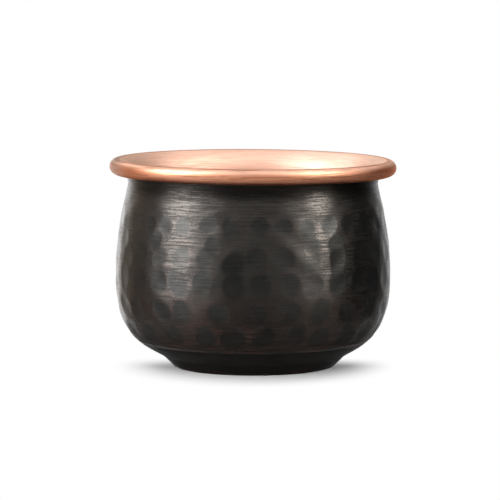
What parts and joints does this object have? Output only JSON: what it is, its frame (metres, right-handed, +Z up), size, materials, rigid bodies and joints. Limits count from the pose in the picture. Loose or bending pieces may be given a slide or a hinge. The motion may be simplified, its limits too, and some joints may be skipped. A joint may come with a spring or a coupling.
{
  "type": "kalash pot",
  "caption": "Squat open copper pot: dark hammered outer shell, bright flared liner rolled over a wire into the rim bead, and a low beaten foot.",
  "frame": {"origin": "middle of the surface that the pot stands on", "axes": "+Z up along the axis that the pot is turned about; the pot is round, so +X and +Y are any two level directions"},
  "size_m": [0.1, 0.1, 0.0728],
  "materials": {
    "oxidised_copper": "hammered copper, blackened and rubbed back on the ridges",
    "bare_copper": "brushed copper, lines run round the pot",
    "braze_metal": "dull braze, rubbed reddish",
    "steel_wire": "drawn wire"
  },
  "bodies": {
    "root": {"outer_shell": "oxidised_copper", "base_dish": "oxidised_copper", "base_braze": "braze_metal", "inner_liner": "bare_copper", "rim_wire": "steel_wire"}
  },
  "joints": []
}
